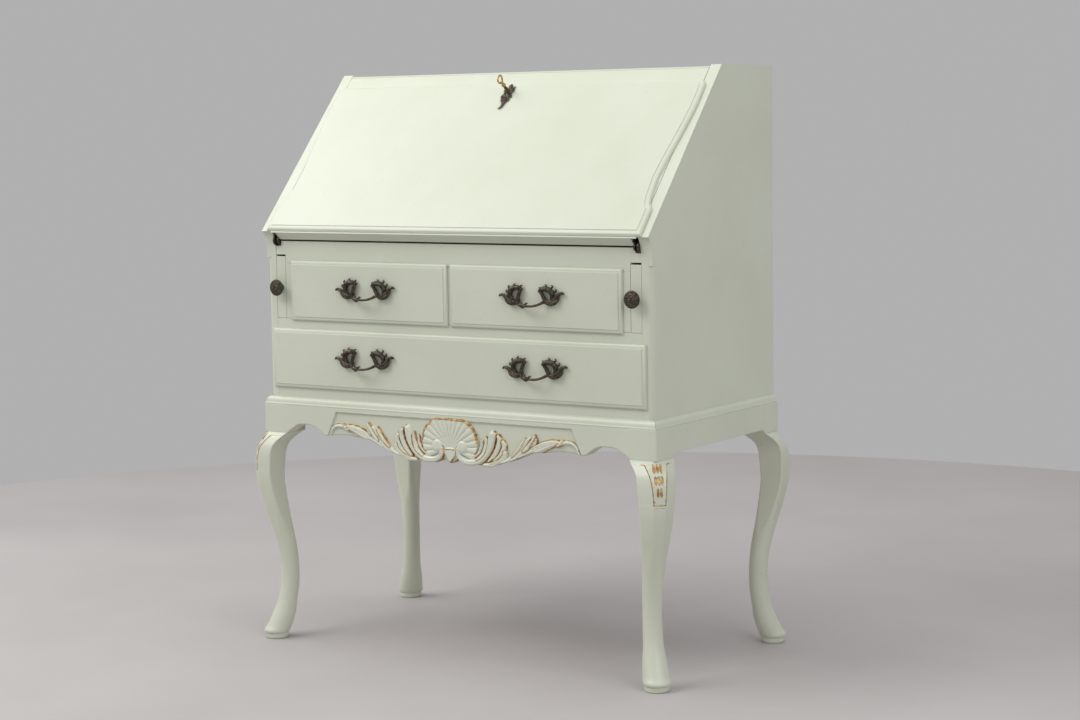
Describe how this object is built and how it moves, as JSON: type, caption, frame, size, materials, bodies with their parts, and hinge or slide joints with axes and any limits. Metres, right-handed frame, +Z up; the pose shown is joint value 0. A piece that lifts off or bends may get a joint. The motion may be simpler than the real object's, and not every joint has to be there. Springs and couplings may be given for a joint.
{
  "type": "secretary desk",
  "caption": "Slant-front secretary desk on cabriole legs: fold-down writing flap on pull-out lopers, drawers and pigeonholes, carved gilt apron.",
  "frame": {"origin": "on the floor under the middle of the desk", "axes": "+Z up, +X to the right of a person facing the desk, the front faces -Y"},
  "size_m": [0.8428, 0.4588, 1],
  "materials": {
    "paint": "grey-green paint, satin",
    "gilding": "painted wood, worn gilding on the carving",
    "raw_wood": "plain wood, waxed",
    "bronze": "dark patina",
    "brass": "aged"
  },
  "bodies": {
    "carcase": {"front_apron": "gilding", "back_apron": "paint", "side_apron_left": "paint", "side_apron_right": "paint", "leg_front_left": "paint", "leg_front_right": "paint", "leg_back_left": "paint", "leg_back_right": "paint", "moulding_front": "paint", "moulding_left": "paint", "moulding_right": "paint", "side_left": "paint", "side_right": "paint", "top_board": "paint", "strike_plate": "brass", "back_panel": "raw_wood", "bottom_rail": "paint", "bottom_board": "raw_wood", "middle_rail": "paint", "dust_board": "raw_wood", "centre_divider": "paint", "loper_partition_left": "paint", "loper_partition_right": "paint", "top_rail": "paint", "writing_bed": "paint", "pigeonhole_top": "raw_wood", "pigeonhole_divider_left": "raw_wood", "pigeonhole_divider_right": "raw_wood", "pigeonhole_shelf_left": "raw_wood", "pigeonhole_shelf_right": "raw_wood", "pivot_plate_left": "brass", "pivot_plate_right": "brass"},
    "flap": {"flap_panel": "paint", "pivot_strap_left": "brass", "pivot_strap_right": "brass", "lock_body": "brass", "escutcheon": "bronze"},
    "bolt": {"lock_bolt": "brass"},
    "key": {"key": "brass"},
    "loper_left": {"loper_left": "paint", "loper_knob_left": "bronze"},
    "loper_right": {"loper_right": "paint", "loper_knob_right": "bronze"},
    "small_drawer_left": {"small_drawer_left_front": "paint", "small_drawer_left_box": "raw_wood", "handle_upper_left": "bronze"},
    "small_drawer_right": {"small_drawer_right_front": "paint", "small_drawer_right_box": "raw_wood", "handle_upper_right": "bronze"},
    "long_drawer": {"long_drawer_front": "paint", "long_drawer_box": "raw_wood", "handle_lower_left": "bronze", "handle_lower_right": "bronze"},
    "inner_drawer_left": {"inner_drawer_left": "raw_wood", "inner_knob_left": "brass"},
    "inner_drawer_right": {"inner_drawer_right": "raw_wood", "inner_knob_right": "brass"}
  },
  "joints": [
    {"name": "flap_hinge", "type": "hinge", "parent": "carcase", "child": "flap", "pos_m": [0, -0.2015, 0.711], "axis": [1, 0, 0], "range_deg": [0, 131.94]},
    {"name": "loper_left_slide", "type": "slide", "parent": "carcase", "child": "loper_left", "axis": [0, -1, 0], "range_m": [0, 0.25]},
    {"name": "loper_right_slide", "type": "slide", "parent": "carcase", "child": "loper_right", "axis": [0, -1, 0], "range_m": [0, 0.25]},
    {"name": "small_drawer_left_slide", "type": "slide", "parent": "carcase", "child": "small_drawer_left", "axis": [0, -1, 0], "range_m": [0, 0.26]},
    {"name": "small_drawer_right_slide", "type": "slide", "parent": "carcase", "child": "small_drawer_right", "axis": [0, -1, 0], "range_m": [0, 0.26]},
    {"name": "long_drawer_slide", "type": "slide", "parent": "carcase", "child": "long_drawer", "axis": [0, -1, 0], "range_m": [0, 0.26]},
    {"name": "inner_drawer_left_slide", "type": "slide", "parent": "carcase", "child": "inner_drawer_left", "axis": [0, -1, 0], "range_m": [0, 0.11]},
    {"name": "inner_drawer_right_slide", "type": "slide", "parent": "carcase", "child": "inner_drawer_right", "axis": [0, -1, 0], "range_m": [0, 0.11]},
    {"name": "key_turn", "type": "hinge", "parent": "flap", "child": "key", "pos_m": [0, -0.01514, 0.96031], "axis": [0, -0.7438, 0.6684], "range_deg": [0, 90]},
    {"name": "bolt_slide", "type": "slide", "parent": "flap", "child": "bolt", "axis": [0, 0.6684, 0.7438], "range_m": [0, 0.009]}
  ],
  "couplings": [
    {"joint": "key_turn", "follows": "bolt_slide", "rad_per_m": 174.53}
  ]
}
